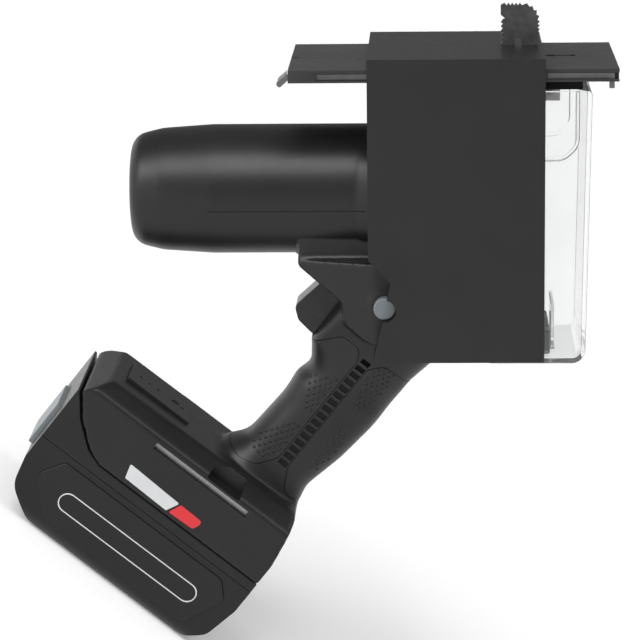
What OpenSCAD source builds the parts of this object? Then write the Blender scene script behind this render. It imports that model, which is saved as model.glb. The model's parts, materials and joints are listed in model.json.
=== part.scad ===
// Cordless box cutter for plasterboard, with a pistol grip, a slide-on battery
// pack, a flat base plate, a reciprocating blade and a clear dust case.
// The tool stands on its pack. The origin is the middle of the pack's foot, +Z
// runs up along the grip, +X is the side of the dust case, +Y is the far side.
// The head leans back, and is drawn in its own frame: its origin is where the
// middle of the blade leaves the plate, its z points out of the plate, and its
// x runs away from the motor.

/* [Stance] */
// Lean of the head against the upright grip, in degrees
head_tilt = 38.7; // [38.2:0.1:39.2]
// Where the blade leaves the plate, ahead of the middle of the foot
blade_exit_x = 5; // [4:0.5:6]
// Where the blade leaves the plate, above the foot
blade_exit_z = 306; // [305.5:0.5:306.5]

/* [Base plate] */
// Reach of the plate behind the blade
plate_back = 103.5; // [100:0.5:112]
// Reach of the plate ahead of the blade
plate_front = 42.5; // [40:0.5:50]
// Width of the plate
plate_width = 82; // [81:1:86]
// Depth of the plate's skirt
plate_depth = 5.8; // [5.4:0.1:6]
// Thickness of the plate's face
plate_skin = 1.8; // [1.6:0.1:1.9]

/* [Blade] */
// Width of the blade
blade_width = 17.6; // [16:0.2:18]
// Length of the blade outside the plate, at the middle of its stroke
blade_out = 24; // [20:1:28]
// Thickness of the blade
blade_thick = 1.2; // [1:0.1:1.4]

/* [Drive] */
// Stroke of the blade
stroke = 12; // [8:1:12]
// Depth of the motor's axis below the plate's face
motor_drop = 60.5; // [60:0.1:61]
// Module of the gears
gear_module = 1; // [1:1]
// Teeth on the pinion
pinion_teeth = 12; // [12:1:12]
// Teeth on the drive gear
gear_teeth = 42; // [42:1:42]
// Radius of the motor's shaft
shaft_r = 2.5; // [2:0.1:3]

/* [Head] */
// Width of the head between its side covers
head_width = 67; // [66:1:68]
// Width of the head's foot, under the side covers
head_foot_width = 70; // [69:1:72]
// Depth of the head below the plate's face
head_drop = 132; // [131:0.5:133]

/* [Housing] */
// Radius of the motor barrel
barrel_r = 29.5; // [29.2:0.1:30]
// Distance from the blade to the end of the barrel
barrel_end = 177.2; // [176:0.2:180]
// Wall of the housing
shell = 2.8; // [2.6:0.1:3]
// Width of the grip
grip_width = 36; // [35:1:38]
// Width of the foot and of the battery pack
foot_width = 74; // [73:1:76]

/* [Battery pack] */
// Length of the pack ahead of and behind its middle
pack_half = 60; // [60:0.2:60.4]
// Height of the joint between pack and foot
pack_top = 43.5; // [43.4:0.1:43.7]
// Height of the seam between the pack's two cases
pack_seam = 38.7; // [38:0.1:39]
// Radius of one cell
cell_r = 9.2; // [9:0.1:9.3]

/* [Hidden] */
$fn = 48;
running = 0.05;
gap = 0.3;
touch = 0.02;
crank_drop = motor_drop + gear_module * (pinion_teeth + gear_teeth) / 2;
rod_x_at = -29;
rod_r = 4;
crank_r = 4;
pin_r = 3;
plate_half = plate_width / 2;
head_half = head_width / 2;
head_foot_half = head_foot_width / 2;
grip_half = grip_width / 2;
foot_half = foot_width / 2;
button_x = -61.5;
button_z = -108.7;
button_r = 5;
trigger_half = 8.6;
boss_r = 4.4;
can_r = 25;
bell_r = 21.5;
can_wall = 2;
cell_half = 32.2;
rubber = 1.2;
case_wall = 2;
case_half = 35;
case_top = -11;
rail_inset = case_half - case_wall - gap;
clip_seam = 0.1;

// Corners as [x, z, radius], row frame: grip, with the ledge over the trigger
grip_corners = [
    [11, 70, 0], [11, 81, 0], [16.5, 90, 14], [18, 116, 40], [16.6, 127, 5],
    [19, 135, 6], [10.5, 146.2, 2], [10.5, 171, 0], [-16.3, 171, 0],
    [-27.5, 186.5, 0], [-9, 214, 0], [40, 214, 0], [61.2, 181.4, 0],
    [58.5, 158, 16], [60, 131, 80], [57.5, 108, 70], [53.2, 88, 12], [56.5, 70, 0]
];
shoulder_corners = [
    [-16.3, 171, 0], [9.5, 171, 0], [20, 160, 10], [58.4, 160, 0],
    [61.2, 181.4, 0], [40, 214, 0], [-9, 214, 0], [-27.5, 186.5, 0]
];
foot_corners = [
    [pack_half, pack_top, 0], [pack_half, 56, 6], [56, 79, 5], [-49.5, 77.5, 4], [-58.8, 67, 1],
    [-50.5, 56, 8], [-39, 46.5, 8], [-31, 43.5, 6]
];
foot_section = [
    [-foot_half, 40, 0], [-foot_half, 71.5, 3], [-24, 79.4, 8],
    [24, 79.4, 8], [foot_half, 71.5, 3], [foot_half, 40, 0]
];
grip_section = [
    [15, -grip_half, 12], [62, -grip_half, 14], [62, grip_half, 14], [15, grip_half, 12]
];
front_pad_zone = [
    [5, 84, 0], [18, 81.5, 8], [27, 84, 8], [33.2, 93, 8], [33.2, 152, 4],
    [30, 158, 4], [20, 158, 0], [12, 145.8, 0], [5, 145.8, 0]
];
rear_pad_zone = [
    [39, 92, 6], [45, 81, 6], [66, 79.8, 0], [66, 159, 0], [44, 159, 5], [39, 152, 4]
];
ladder = [for (i = [0 : 15]) 92.5 + i * 4.1];

// Corners as [x, z, radius], head frame
collar_corners = [
    [-66.5, -6.2, 1], [-33.7, -6.2, 0], [-33.7, -16.7, 0], [-14.5, -37.7, 0],
    [-14.5, -41, 0], [-57, -41, 0], [-60, -37.3, 0], [-64, -37, 5], [-68.7, -31.5, 4]
];
main_corners = [
    [-57, -38, 0], [-14.5, -38, 0], [-14.5, -97, 0], [-58.6, -97, 0],
    [-59, -86, 0], [-80, -60.5, 31]
];
head_foot_corners = [
    [-58.5, -96.3, 0], [-14.5, -96.3, 0], [-14.5, -head_drop, 0],
    [-66.4, -head_drop, 0], [-62.3, -114.7, 10]
];
head_zone = [
    [-68.6, 5, 0], [-68.6, -85, 0], [-58.7, -95.5, 0], [-62.5, -114.7, 10],
    [-66.6, -head_drop - clip_seam, 0], [10, -head_drop - clip_seam, 0], [10, 5, 0]
];
case_corners = [
    [-33.2, case_top, 0], [31.2, case_top, 2], [28.8, -135, 6], [-14.2, -135, 0],
    [-14.2, -37.5, 0], [-33.2, -16.5, 0]
];
screw_spots = [[-43, 66], [51.5, 67], [22.5, 137.5], [48, 100]];
barrel_screw_spots = [[-84, -38.5], [-84, -82.5]];
plate_screw_spots = [[-46, 24], [-37, 24], [-46, -24], [-37, -24]];

// ---- outline functions ----
function flat(p) = [p[0], p[1]];
function unit2(v) = v / norm(v);
function wrapped(a) = a > 180 ? a - 360 : (a < -180 ? a + 360 : a);
function corner_arc(before, at, after, r, steps) =
    let (u = unit2(before - at), v = unit2(after - at), half = acos(u * v) / 2)
    let (middle = at + unit2(u + v) * r / sin(half), reach = r / tan(half))
    let (a = at + u * reach - middle, b = at + v * reach - middle)
    let (start = atan2(a[1], a[0]), sweep = wrapped(atan2(b[1], b[0]) - start))
    [for (i = [0 : steps]) middle + r * [cos(start + sweep * i / steps), sin(start + sweep * i / steps)]];
function outline(corners, steps = 6) =
    let (n = len(corners))
    [for (i = [0 : n - 1])
        each corners[i][2] == 0 ? [flat(corners[i])] : corner_arc(
            flat(corners[(i + n - 1) % n]), flat(corners[i]), flat(corners[(i + 1) % n]),
            corners[i][2], steps)];

// ---- shared shapes ----
module head_frame() {
    translate([blade_exit_x, 0, blade_exit_z]) rotate([0, -head_tilt, 0]) children();
}

module side_slab(corners, y0, y1, inset = 0) {
    translate([0, y1, 0]) rotate([90, 0, 0]) linear_extrude(y1 - y0) {
        if (inset == 0) polygon(outline(corners));
        else offset(delta = -inset) polygon(outline(corners));
    }
}

module box(low, high) {
    translate(low) cube(high - low);
}

module rod_x(x0, x1, r, z = 0, y = 0) {
    translate([x0, y, z]) rotate([0, 90, 0]) cylinder(h = x1 - x0, r = r);
}

module rod_y(x, z, y0, y1, r) {
    translate([x, y0, z]) rotate([-90, 0, 0]) cylinder(h = y1 - y0, r = r);
}

module rod_z(x, y, z0, z1, r) {
    translate([x, y, z0]) cylinder(h = z1 - z0, r = r);
}

module both_sides() {
    children();
    mirror([0, 1, 0]) children();
}

// ---- housing ----
module barrel_solid(inset = 0) {
    end = barrel_end - inset;
    r = barrel_r - inset;
    profile = [
        [0, -end, 0], [r - 5, -end, 8], [r - 1.6, -end + 14, 6], [r, -140, 30],
        [r, -60, 0], [0, -60, 0]
    ];
    translate([0, 0, -motor_drop]) rotate([0, 90, 0]) rotate_extrude($fn = 96) polygon(outline(profile));
}

module grip_solid(inset = 0, skin = 0) {
    intersection() {
        side_slab(grip_corners, -grip_half, grip_half, inset + skin);
        translate([0, 0, 60]) linear_extrude(160) offset(delta = -inset - skin)
            polygon(outline(grip_section));
    }
    intersection() {
        side_slab(grip_corners, -25, 25, inset);
        side_slab(shoulder_corners, -25 + inset, 25 - inset, 0);
    }
}

module foot_solid(inset = 0) {
    intersection() {
        side_slab(foot_corners, -foot_half, foot_half, inset);
        translate([-70, 0, 0]) rotate([90, 0, 90]) linear_extrude(140) offset(delta = -inset)
            polygon(outline(foot_section));
    }
}

module screw_boss(x, z) {
    rod_y(x, z, -foot_half, foot_half, boss_r);
}

module housing_outer() {
    difference() {
        union() {
            head_frame() barrel_solid();
            grip_solid();
            foot_solid();
            head_frame() rod_y(button_x, button_z, -34, 34, button_r + 3.5);
        }
        head_frame() side_slab(head_zone, -45, 45);
    }
}

module housing_inner() {
    head_frame() barrel_solid(shell);
    grip_solid(shell);
    intersection() {
        foot_solid(shell);
        box([-70, -40, 58], [70, 40, 90]);
    }
}

module pad_pockets() {
    difference() {
        union() {
            side_slab(front_pad_zone, -30, 30);
            side_slab(rear_pad_zone, -30, 30);
        }
        grip_solid(0, rubber);
    }
}

module pack_slot() {
    box([-70, -22.5, 40], [57.5, 22.5, 49.2]);
    box([-70, -27, 48.8], [57.5, 27, 55.2]);
}

module trigger_window() {
    box([5, -trigger_half - 0.7, 146.6], [18.6, trigger_half + 0.7, 170.6]);
}

module hook_slots() {
    both_sides() box([-17, -50, 65.7], [36, -foot_half + 5, 68.9]);
}

module motor_ribs() {
    head_frame() difference() {
        for (x = [-150, -116]) rod_x(x, x + 3, barrel_r - shell + touch, -motor_drop);
        rod_x(-170, -100, can_r + 0.1, -motor_drop);
    }
}

module housing_whole() {
    difference() {
        union() {
            difference() {
                housing_outer();
                housing_inner();
            }
            intersection() {
                housing_outer();
                union() {
                    for (spot = screw_spots) screw_boss(spot[0], spot[1]);
                    head_frame() for (spot = barrel_screw_spots) screw_boss(spot[0], spot[1]);
                }
            }
            motor_ribs();
        }
        pad_pockets();
        pack_slot();
        hook_slots();
        trigger_window();
        box([18, -16.2, 54], [46.2, 16.2, 59]);
        box([-44.2, -14.2, 76.3], [-8.8, 14.2, 84]);
        both_sides() for (z = ladder) box([34, -19, z - 1.3], [38.6, -17, z + 1.3]);
        head_frame() rod_y(button_x, button_z, -45, 45, button_r + gap);
    }
}

module screw_holes(r, y0, y1) {
    for (spot = screw_spots) rod_y(spot[0], spot[1], y0, y1, r);
    head_frame() for (spot = barrel_screw_spots) rod_y(spot[0], spot[1], y0, y1, r);
}

module housing_left() {
    color([0.09, 0.09, 0.1]) difference() {
        intersection() {
            housing_whole();
            box([-150, -60, 0], [150, 0, 400]);
        }
        screw_holes(1.6, -9, 1);
    }
}

module housing_right() {
    color([0.1, 0.1, 0.11]) difference() {
        intersection() {
            housing_whole();
            box([-150, 0, 0], [150, 60, 400]);
        }
        screw_holes(2.2, -1, 60);
        screw_holes(3.2, 11, 60);
    }
}

module housing_screws() {
    color([0.25, 0.25, 0.27]) {
        screw_holes(1.6, -8, 11);
        screw_holes(2.9, 11, 13);
    }
}

module front_grip() {
    color([0.16, 0.16, 0.17]) difference() {
        intersection() {
            grip_solid();
            side_slab(front_pad_zone, -30, 30);
            box([-60, -30, 80], [70, 30, 159.9]);
        }
        grip_solid(0, rubber);
        trigger_window();
    }
}

module rear_grip() {
    color([0.16, 0.16, 0.17]) intersection() {
        difference() {
            grip_solid();
            grip_solid(0, rubber);
        }
        side_slab(rear_pad_zone, -30, 30);
        box([-60, -30, 79.6], [70, 30, 159.9]);
    }
}

module grip_insets() {
    color([0.05, 0.05, 0.055])
        both_sides() for (z = ladder) box([34, -18.3, z - 1.3], [38.6, -17, z + 1.3]);
}

// ---- head ----
module head_covers_space(extra = 0) {
    cover = [
        [-50.5, -38, 3], [-20, -38, 4], [-20, -94, 0], [-57, -94, 0], [-57, -84, 0]
    ];
    both_sides() side_slab(cover, -head_half - extra, -head_half + 3.2, 0);
}

module head_cavity() {
    box([-50, -29, -112], [-17, 29, -52]);
    box([-40, -14, -38], [-14, 14, 0]);
    both_sides() box([-48, -head_half - 1, -92], [-24, -28, -54]);
}

module strip_grooves() {
    both_sides() {
        box([-19.8, -40, -94], [-19.4, -head_half + 0.5, -38]);
        box([-19.8, -40, -140], [-19.4, -head_foot_half + 0.5, -96.3]);
    }
}

module gear_housing() {
    color([0.08, 0.08, 0.09]) head_frame() difference() {
        union() {
            side_slab(collar_corners, -34.5, 34.5);
            side_slab(main_corners, -head_half, head_half);
            side_slab(head_foot_corners, -head_foot_half, head_foot_half);
            rod_x(-68.5, -56, barrel_r, -motor_drop);
        }
        head_covers_space(1);
        head_cavity();
        rod_z(rod_x_at, 0, -130, 5, rod_r + 1);
        rod_z(rod_x_at, 0, -126, -112, 7);
        rod_z(rod_x_at, 0, -54, -40, 7);
        strip_grooves();
        rod_x(-70, -40, shaft_r + 1.5, -motor_drop);
        rod_x(-60, -54.9, 8, -motor_drop);
        rod_x(-61.5, -49, crank_r + 0.8, -crank_drop);
        rod_x(-60.5, -51, 9.5, -crank_drop);
        rod_y(button_x, button_z, -45, 45, button_r + gap);
        for (spot = plate_screw_spots) {
            rod_z(spot[0], spot[1], -60, -24, 3.6);
            rod_z(spot[0], spot[1], -30, 0, 2.2);
        }
    }
}

module side_covers() {
    color([0.12, 0.12, 0.13]) head_frame() head_covers_space();
}

module case_rail() {
    color([0.05, 0.05, 0.06]) head_frame() difference() {
        box([-14.5, -rail_inset, -132], [-7.4, rail_inset, -40]);
        box([-15, -rail_inset + 2, -129.5], [-7, rail_inset - 2, -39]);
    }
}

module base_plate() {
    x0 = -plate_back;
    x1 = plate_front;
    color([0.17, 0.17, 0.18]) head_frame() difference() {
        union() {
            box([x0, -plate_half, -plate_skin], [x1, plate_half, 0]);
            both_sides() box([x0, -plate_half, -plate_depth], [x1, -plate_half + 1.4, 0]);
            both_sides() box([x0, -37.2, -plate_depth], [x1, -36.2, 0]);
            box([x0, -36.2, -plate_depth], [x0 + 1.4, 36.2, 0]);
            box([x1 - 1.4, -36.2, -plate_depth], [x1, 36.2, 0]);
            box([-66, -33, -6.2], [-40.5, 33, 0]);
            both_sides() box([-41, -33, -6.2], [-34, -18, 0]);
        }
        box([-29, -1.6, -10], [25, 1.6, 5]);
        both_sides() box([12.5, -2.4, -10], [15.5, 0, 5]);
        both_sides() box([22.5, -2.4, -10], [25, 0, 5]);
        both_sides() box([-91, -45, -4.8], [-12.6, -plate_half + 2, -plate_skin]);
        both_sides() box([11, -45, -4.8], [x1 + 1, -plate_half + 2, -plate_skin]);
        box([x0 - 1, -3, -10], [x0 + 3.5, -1, 5]);
        for (spot = plate_screw_spots) rod_z(spot[0], spot[1], -8, -2.2, 1.7);
        rod_z(-72, -8, -8, 5, 1.1);
    }
}

module plate_screws() {
    color([0.3, 0.3, 0.32]) head_frame() for (spot = plate_screw_spots) {
        rod_z(spot[0], spot[1], -27.2, -24, 3.4);
        rod_z(spot[0], spot[1], -24, -2.6, 1.7);
    }
}

module plate_frame() {
    color([0.06, 0.06, 0.07]) head_frame() difference() {
        box([-33, -31, case_top + 0.2], [27, 31, -plate_skin]);
        box([-40, -18, -20], [23, 18, 0]);
    }
}

module guide_rule() {
    finger = [
        [-104.6, -2.4, 0], [-109, -6.2, 1.1], [-107.4, -8.3, 1.1], [-104.6, -5.8, 0]
    ];
    tab = [
        [-101, -2.2, 0], [-104.4, -2.2, 1], [-109, -6.2, 1.1], [-107.4, -8.3, 1.1],
        [-103.6, -4.8, 1], [-101, -4.8, 0]
    ];
    color([0.3, 0.3, 0.31]) head_frame() {
        box([-101, -39.3, -4.6], [40.5, -37.6, -2.2]);
        box([38.2, -39.3, -9], [40.5, -37.6, -4.6]);
        side_slab(tab, -39.3, -37.6);
        side_slab(finger, -37.6, -24);
    }
}

// ---- blade group ----
function teeth_up(x, z0, z1, count, depth) = [for (i = [0 : count - 1])
    each [[x, z0 + (z1 - z0) * i / count], [x + depth, z0 + (z1 - z0) * (i + 0.75) / count]]];
function teeth_round(cx, cz, r, a0, a1, count, depth) = [for (i = [0 : count - 1])
    each [
        [cx + (r - depth) * cos(a0 + (a1 - a0) * i / count), cz + (r - depth) * sin(a0 + (a1 - a0) * i / count)],
        [cx + r * cos(a0 + (a1 - a0) * (i + 0.7) / count), cz + r * sin(a0 + (a1 - a0) * (i + 0.7) / count)]
    ]];
function teeth_left(z, x0, x1, count, depth) = [for (i = [0 : count - 1])
    each [[x0 + (x1 - x0) * i / count, z - depth], [x0 + (x1 - x0) * (i + 0.6) / count, z]]];
function teeth_down(x, z0, z1, count, depth) = [for (i = [0 : count - 1])
    each [[x, z0 + (z1 - z0) * i / count], [x - depth, z0 + (z1 - z0) * (i + 0.75) / count]]];

module blade() {
    half = blade_width / 2;
    edge = half - 1;
    points = concat(
        [[-half, -30], [half, -30], [half, 0]],
        teeth_up(edge, 2, blade_out - 8, 8, 1),
        teeth_round(half - 8, blade_out - 8, 8, 0, 80, 4, 1),
        teeth_left(blade_out, half - 8, -half + 1, 5, 1.2),
        [[-half, blade_out - 1], [-half, blade_out - 5.4], [-half + 2, blade_out - 7]],
        teeth_down(-half + 1, blade_out - 7.4, 3, 7, 1),
        [[-half, 1]]
    );
    color([0.2, 0.2, 0.21]) head_frame() difference() {
        translate([0, blade_thick / 2, 0]) rotate([90, 0, 0]) linear_extrude(blade_thick) polygon(points);
        box([-2.3, -2, -8], [0.7, 2, 7.5]);
        rod_y(0, -23.5, -3, 3, 2);
    }
}

module blade_bracket() {
    color([0.55, 0.55, 0.56]) head_frame() difference() {
        union() {
            box([-36, blade_thick / 2, -20], [18, 5, -12]);
            box([-36, -7, -20], [-21, 7, -12]);
        }
        rod_z(rod_x_at, 0, -21, -11, rod_r);
        for (x = [-13, 13]) rod_y(x, -15, -8, 8, 1.6);
    }
}

module clamp_plate() {
    color([0.62, 0.62, 0.63]) head_frame() difference() {
        box([-20.8, -4, -20], [18, -blade_thick / 2, -12]);
        for (x = [-13, 13]) rod_y(x, -15, -8, 8, 1.6);
    }
}

module clamp_screws() {
    color([0.4, 0.4, 0.42]) head_frame() for (x = [-13, 13]) difference() {
        union() {
            rod_y(x, -15, -4, 5, 1.6);
            rod_y(x, -15, -6.2, -4, 3);
        }
        rod_y(x, -15, -7, -5, 1.4);
    }
}

module plunger() {
    yoke_half = 13;
    slot_half = stroke / 2 + pin_r + 0.6;
    color([0.7, 0.7, 0.72]) head_frame() difference() {
        union() {
            rod_z(rod_x_at, 0, -123, -12, rod_r);
            box([-37.2, -yoke_half, -crank_drop - 7], [-32, yoke_half, -crank_drop + 7]);
        }
        box([-38, -slot_half, -crank_drop - pin_r - 0.3], [-33.4, slot_half, -crank_drop + pin_r + 0.3]);
    }
}

module plunger_bushes() {
    color([0.7, 0.52, 0.3]) head_frame() for (z = [-125, -53]) difference() {
        rod_z(rod_x_at, 0, z, z + 12, 7);
        rod_z(rod_x_at, 0, z - 1, z + 13, rod_r + running);
    }
}

// ---- gears and crank ----
function involute(base_r, t) = [
    base_r * (cos(t) + t * PI / 180 * sin(t)), base_r * (sin(t) - t * PI / 180 * cos(t))
];
function turned(p, a) = [p[0] * cos(a) - p[1] * sin(a), p[0] * sin(a) + p[1] * cos(a)];
function roll_angle(base_r, r) = r <= base_r ? 0 : sqrt(pow(r / base_r, 2) - 1) * 180 / PI;
function flank(base_r, tip_r, half, steps) = [for (i = [0 : steps])
    let (r = base_r + (tip_r - base_r) * i / steps)
    turned(involute(base_r, roll_angle(base_r, r)), -half)];
function gear_points(teeth, addendum, dedendum, slack) =
    let (pitch_r = gear_module * teeth / 2, base_r = pitch_r * cos(20))
    let (tip_r = pitch_r + addendum, root_r = pitch_r - dedendum)
    let (t = roll_angle(base_r, pitch_r), lean = t - atan(t * PI / 180))
    let (half = 90 / teeth + lean - slack / pitch_r * 90 / PI)
    let (low = max(base_r, root_r), side = flank(low, tip_r, half, 4), n = len(side))
    [for (k = [0 : teeth - 1]) each concat(
        [turned([root_r, 0], k * 360 / teeth - half)],
        [for (p = side) turned(p, k * 360 / teeth)],
        [for (i = [n - 1 : -1 : 0]) turned([side[i][0], -side[i][1]], k * 360 / teeth)],
        [turned([root_r, 0], k * 360 / teeth + half)]
    )];

module toothed(x0, x1, z, teeth, turn) {
    translate([x0, 0, z]) rotate([0, 90, 0]) rotate([0, 0, turn]) linear_extrude(x1 - x0)
        polygon(gear_points(teeth, 0.75 * gear_module, 1.1 * gear_module, 0.3));
}

module pinion() {
    color([0.75, 0.75, 0.77]) head_frame() difference() {
        toothed(-49.6, -43, -motor_drop, pinion_teeth, 180 / pinion_teeth);
        rod_x(-51, -40, shaft_r, -motor_drop);
    }
}

module drive_gear() {
    color([0.6, 0.6, 0.63]) head_frame() difference() {
        toothed(-49.4, -43.6, -crank_drop, gear_teeth, 0);
        rod_x(-51, -42, crank_r, -crank_drop);
        for (a = [0 : 60 : 300]) translate([0, 0, -crank_drop]) rotate([a + 30, 0, 0])
            rod_x(-51, -42, 3.2, 0, 14);
    }
}

module crank_shaft() {
    color([0.78, 0.78, 0.8]) head_frame() {
        rod_x(-61, -43.6, crank_r, -crank_drop);
        rod_x(-43.6, -41.2, 11, -crank_drop);
        rod_x(-41.2, -37.7, pin_r, -crank_drop, stroke / 2);
    }
}

module ring_bearing(x0, x1, outer_r, inner_r, z) {
    difference() {
        rod_x(x0, x1, outer_r, z);
        rod_x(x0 - 1, x1 + 1, inner_r, z);
    }
}

module crank_bearings() {
    color([0.8, 0.8, 0.82]) head_frame() {
        ring_bearing(-60.5, -56, 9.5, crank_r + running, -crank_drop);
        ring_bearing(-55.6, -51.1, 9.5, crank_r + running, -crank_drop);
    }
}

// ---- motor ----
module motor_can() {
    color([0.45, 0.46, 0.48]) head_frame() difference() {
        union() {
            rod_x(-157, -106, can_r, -motor_drop);
            rod_x(-168, -156, bell_r, -motor_drop);
        }
        rod_x(-163, -154, bell_r - can_wall, -motor_drop);
        rod_x(-155, -111, can_r - can_wall, -motor_drop);
        rod_x(-170, -162, 8, -motor_drop);
        rod_x(-112, -100, 8, -motor_drop);
    }
}

module motor_magnets() {
    color([0.2, 0.2, 0.22]) head_frame() translate([0, 0, -motor_drop]) difference() {
        rod_x(-154.9, -118, can_r - can_wall - 0.1);
        rod_x(-156, -117, 20.6);
        box([-160, -6, -30], [-110, 6, 30]);
    }
}

module motor_bearings() {
    color([0.8, 0.8, 0.82]) head_frame() {
        ring_bearing(-168, -163, 8, shaft_r + running, -motor_drop);
        ring_bearing(-111, -106, 8, shaft_r + running, -motor_drop);
        ring_bearing(-60, -55, 8, shaft_r + running, -motor_drop);
    }
}

module brush_holders() {
    color([0.6, 0.45, 0.25]) head_frame() translate([0, 0, -motor_drop])
        both_sides() box([-161.5, -18.5, -3], [-157, -8, 3]);
}

module motor_shaft() {
    color([0.78, 0.78, 0.8]) head_frame() rod_x(-169.5, -43, shaft_r, -motor_drop);
}

module armature_core() {
    color([0.35, 0.34, 0.36]) head_frame() difference() {
        rod_x(-152, -120, 19.8, -motor_drop);
        rod_x(-153, -119, shaft_r, -motor_drop);
        for (a = [0 : 30 : 330]) translate([0, 0, -motor_drop]) rotate([a, 0, 0])
            box([-153, -1.1, 12], [-119, 1.1, 21]);
    }
}

module armature_windings() {
    color([0.72, 0.38, 0.16]) head_frame() {
        for (ends = [[-155.8, -152], [-120, -115]]) ring_bearing(ends[0], ends[1], 17, 8, -motor_drop);
    }
}

module commutator() {
    color([0.78, 0.5, 0.25]) head_frame() difference() {
        rod_x(-162, -155.8, 7.6, -motor_drop);
        rod_x(-163, -155, shaft_r, -motor_drop);
        for (a = [0 : 30 : 330]) translate([0, 0, -motor_drop]) rotate([a, 0, 0])
            box([-163, -0.25, 6.8], [-155, 0.25, 8]);
    }
}

module cooling_fan() {
    color([0.3, 0.3, 0.32]) head_frame() translate([0, 0, -motor_drop]) difference() {
        union() {
            rod_x(-104, -102.4, 24);
            rod_x(-104, -95, 6);
            for (a = [0 : 30 : 330]) rotate([a, 0, 0]) box([-103, -0.7, 9], [-95, 0.7, 23]);
        }
        rod_x(-105, -94, shaft_r);
    }
}

// ---- dust case ----
module dust_case() {
    inner = [
        [-40, 5, 0], [29.2, 5, 0], [29.1, case_top, 0], [26.9, -133, 4],
        [-30, -133, 0], [-30, -60, 0], [-60, -30, 0], [-60, 5, 0]
    ];
    rib = [
        [-7, -42.4, 0], [19, -42.4, 8], [25.5, -36, 8], [25.5, case_top - 1, 0],
        [24, case_top - 1, 0], [24, -35.6, 6.5], [18.6, -40.9, 6.5], [-7, -40.9, 0]
    ];
    color([0.8, 0.85, 0.88, 0.35]) head_frame() {
        difference() {
            side_slab(case_corners, -case_half, case_half);
            side_slab(inner, -case_half + case_wall, case_half - case_wall);
        }
        both_sides() side_slab(rib, -case_half + case_wall - touch, -case_half + case_wall + 2.5);
        box([14, -14, -133 - touch], [15.5, 14, -112]);
    }
}

module case_latch() {
    lever = [
        [-5, -135.3, 0], [12.6, -135.3, 0], [12.6, -138.1, 0], [6, -138.2, 1], [-5, -137, 1]
    ];
    color([0.05, 0.05, 0.06]) head_frame() {
        side_slab(lever, -10, 10);
        rod_y(12.6, -136.7, -10, 10, 1.4);
    }
}

module case_socket() {
    color([0.09, 0.09, 0.1]) head_frame() difference() {
        box([-6.8, -20, -132.7], [13.4, 20, -123]);
        box([-3, -16, -131], [10, 16, -120]);
    }
}

// ---- controls ----
module trigger() {
    face = [
        [11, 147.3, 0], [11, 169.9, 0], [-1.5, 169.6, 3], [-4.4, 152.5, 4], [1, 148.3, 4], [9, 147.3, 0]
    ];
    color([0.08, 0.08, 0.09]) {
        side_slab(face, -trigger_half, trigger_half);
        box([10.9, -7.5, 149], [22, 7.5, 160]);
        rod_x(21.9, 34, 1.6, 154);
    }
}

module trigger_spring() {
    color([0.7, 0.7, 0.72]) difference() {
        rod_x(22.1, 29.5, 4.6, 154);
        rod_x(22, 30, 3.8, 154);
    }
}

module trigger_switch() {
    color([0.2, 0.2, 0.24]) difference() {
        box([29.8, -13, 126], [53.5, 13, 160]);
        rod_x(29, 43, 2.6, 154);
    }
}

module lock_button() {
    color([0.62, 0.63, 0.65]) head_frame() rod_y(button_x, button_z, -39, 39, button_r);
}

module controller_board() {
    color([0.1, 0.3, 0.18]) {
        box([-33, -26, 60.5], [14, 26, 62.1]);
        for (i = [0 : 2]) rod_z(-24 + i * 12, 10, 62.1, 72, 4);
        box([-28, -20, 62.1], [2, -4, 66]);
    }
}

module terminal_block() {
    color([0.12, 0.12, 0.13]) box([18.6, -15.8, 55.4], [45.6, 15.8, 66]);
    color([0.8, 0.6, 0.3]) for (y = [-10, 0, 10]) box([22, y - 0.4, 50.2], [42, y + 0.4, 55.4]);
}

module level_panel() {
    color([0.13, 0.13, 0.14]) difference() {
        box([-44, -14, 76.5], [-9, 14, 79.3]);
        for (i = [0 : 2]) rod_z(-38 + i * 5, 0, 78.6, 80, 1.2);
        rod_z(-17, 0, 78.8, 80, 3.5);
    }
}

module hook_bar() {
    color([0.3, 0.3, 0.32]) both_sides() box([-19, -34.1, 64], [38, -32.4, 69.4]);
}

module motor_leads() {
    for (y = [-3, 3]) color(y > 0 ? [0.6, 0.1, 0.1] : [0.1, 0.1, 0.12]) {
        rod_z(36, y, 66, 126, 1.3);
    }
}

// ---- battery pack ----
pack_corners = [
    [pack_half, pack_top - 0.1, 0], [pack_half, 27, 10], [56.5, 10, 8], [47, 0, 8], [-40, 0, 14],
    [-57, 12, 12], [-60.5, 26, 10], [-60.5, 66.3, 0.5], [-59.4, 66.3, 0], [-51, 55.7, 8], [-39.2, 46.2, 8],
    [-31, 43.4, 6]
];

module pack_solid(inset = 0) {
    half = foot_half - inset;
    rounding = 9 - 2.2 * inset;
    section = [[-half, inset, rounding], [half, inset, rounding], [half, 90, 0], [-half, 90, 0]];
    intersection() {
        side_slab(pack_corners, -half, half, inset);
        translate([-70, 0, 0]) rotate([90, 0, 90]) linear_extrude(140) polygon(outline(section));
    }
}

module pack_hollow() {
    difference() {
        pack_solid(2.2);
        box([-60, -21, 20], [-51, 21, 60]);
    }
}

module button_pocket() {
    box([-70, -18.4, 26], [-53, 18.4, 50.6]);
}

module pack_rails() {
    box([-47.3, -22.1, 40], [57, 22.1, 50]);
    box([-47.3, -26.6, 49.2], [57, 26.6, 54.8]);
}

module pack_lower() {
    color([0.11, 0.11, 0.12]) difference() {
        intersection() {
            pack_solid();
            box([-80, -60, -1], [80, 60, pack_seam]);
        }
        pack_hollow();
        button_pocket();
    }
}

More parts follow.
